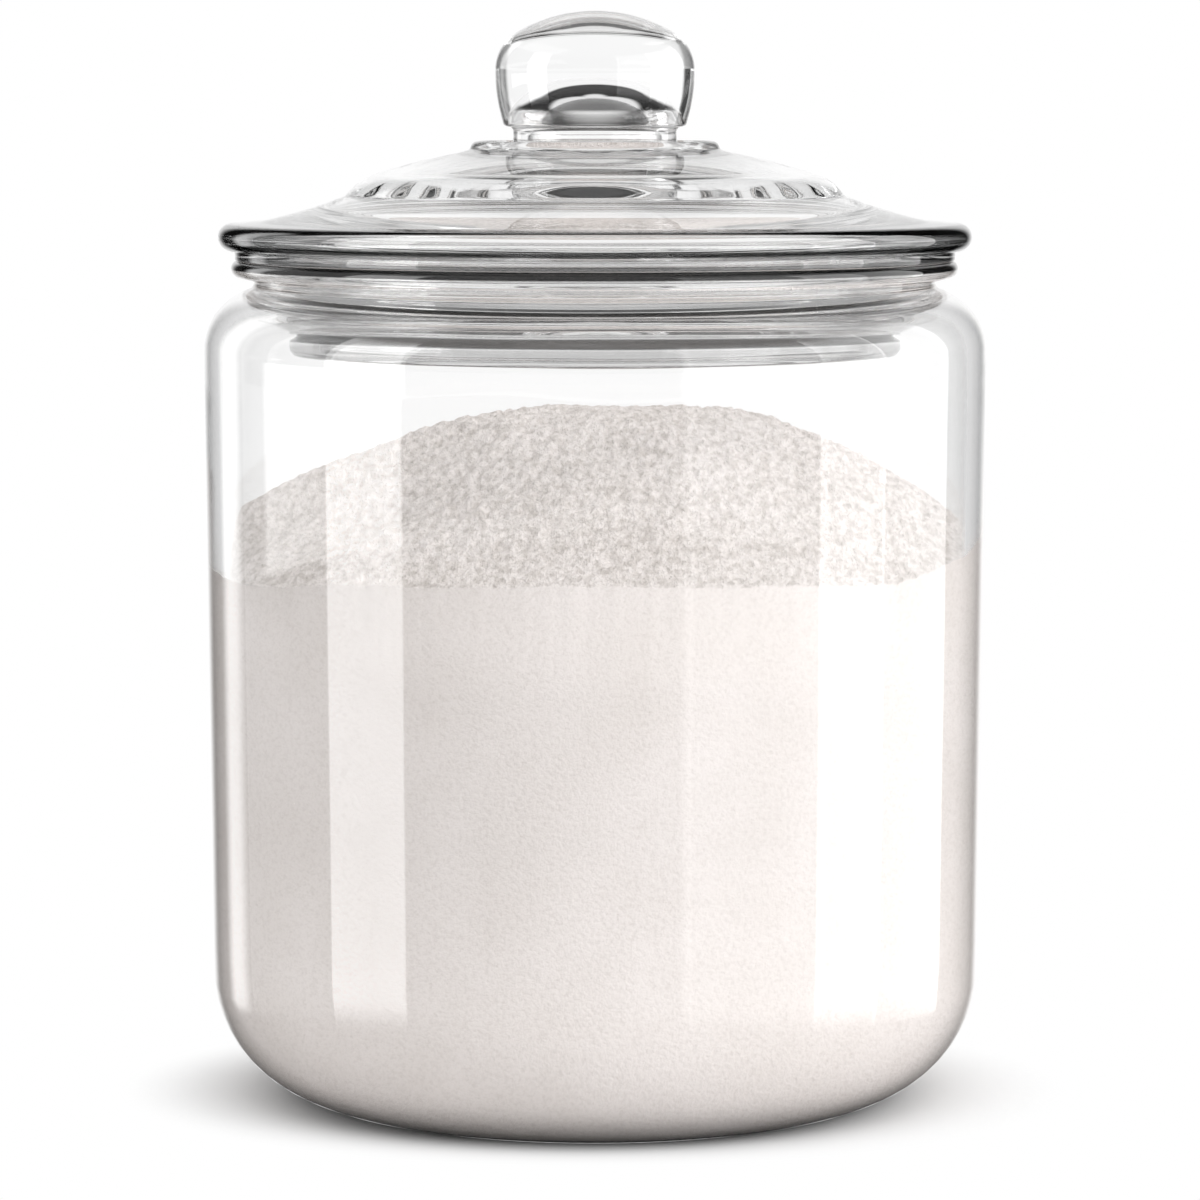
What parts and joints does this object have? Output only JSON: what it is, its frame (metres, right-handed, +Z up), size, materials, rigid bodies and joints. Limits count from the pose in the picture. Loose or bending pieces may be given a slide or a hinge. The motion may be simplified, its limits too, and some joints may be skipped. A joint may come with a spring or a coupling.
{
  "type": "glass storage jar",
  "caption": "Cylindrical clear glass storage jar with rounded shoulders, a domed glass lid with a knob, a clear sealing ring and a heap of white flour inside.",
  "frame": {"origin": "centre of the foot ring, on the surface that the jar stands on", "axes": "+Z up along the jar's axis, -Y towards the viewer of the picture, +X to the right"},
  "size_m": [0.178, 0.178, 0.2477],
  "materials": {
    "jar_glass": "gloss",
    "lid_glass": "gloss",
    "seal": "satin",
    "flour": "matte"
  },
  "bodies": {
    "jar": {"jar_body": "jar_glass", "flour": "flour"},
    "seal": {"seal_ring": "seal"},
    "lid": {"lid": "lid_glass"}
  },
  "joints": [
    {"name": "lid_lift", "type": "slide", "parent": "jar", "child": "seal", "axis": [0, 0, 1], "range_m": [0, 0.12]},
    {"name": "lid_turn", "type": "hinge", "parent": "seal", "child": "lid", "pos_m": [0, 0, 0.1935], "axis": [0, 0, 1], "continuous": true}
  ]
}
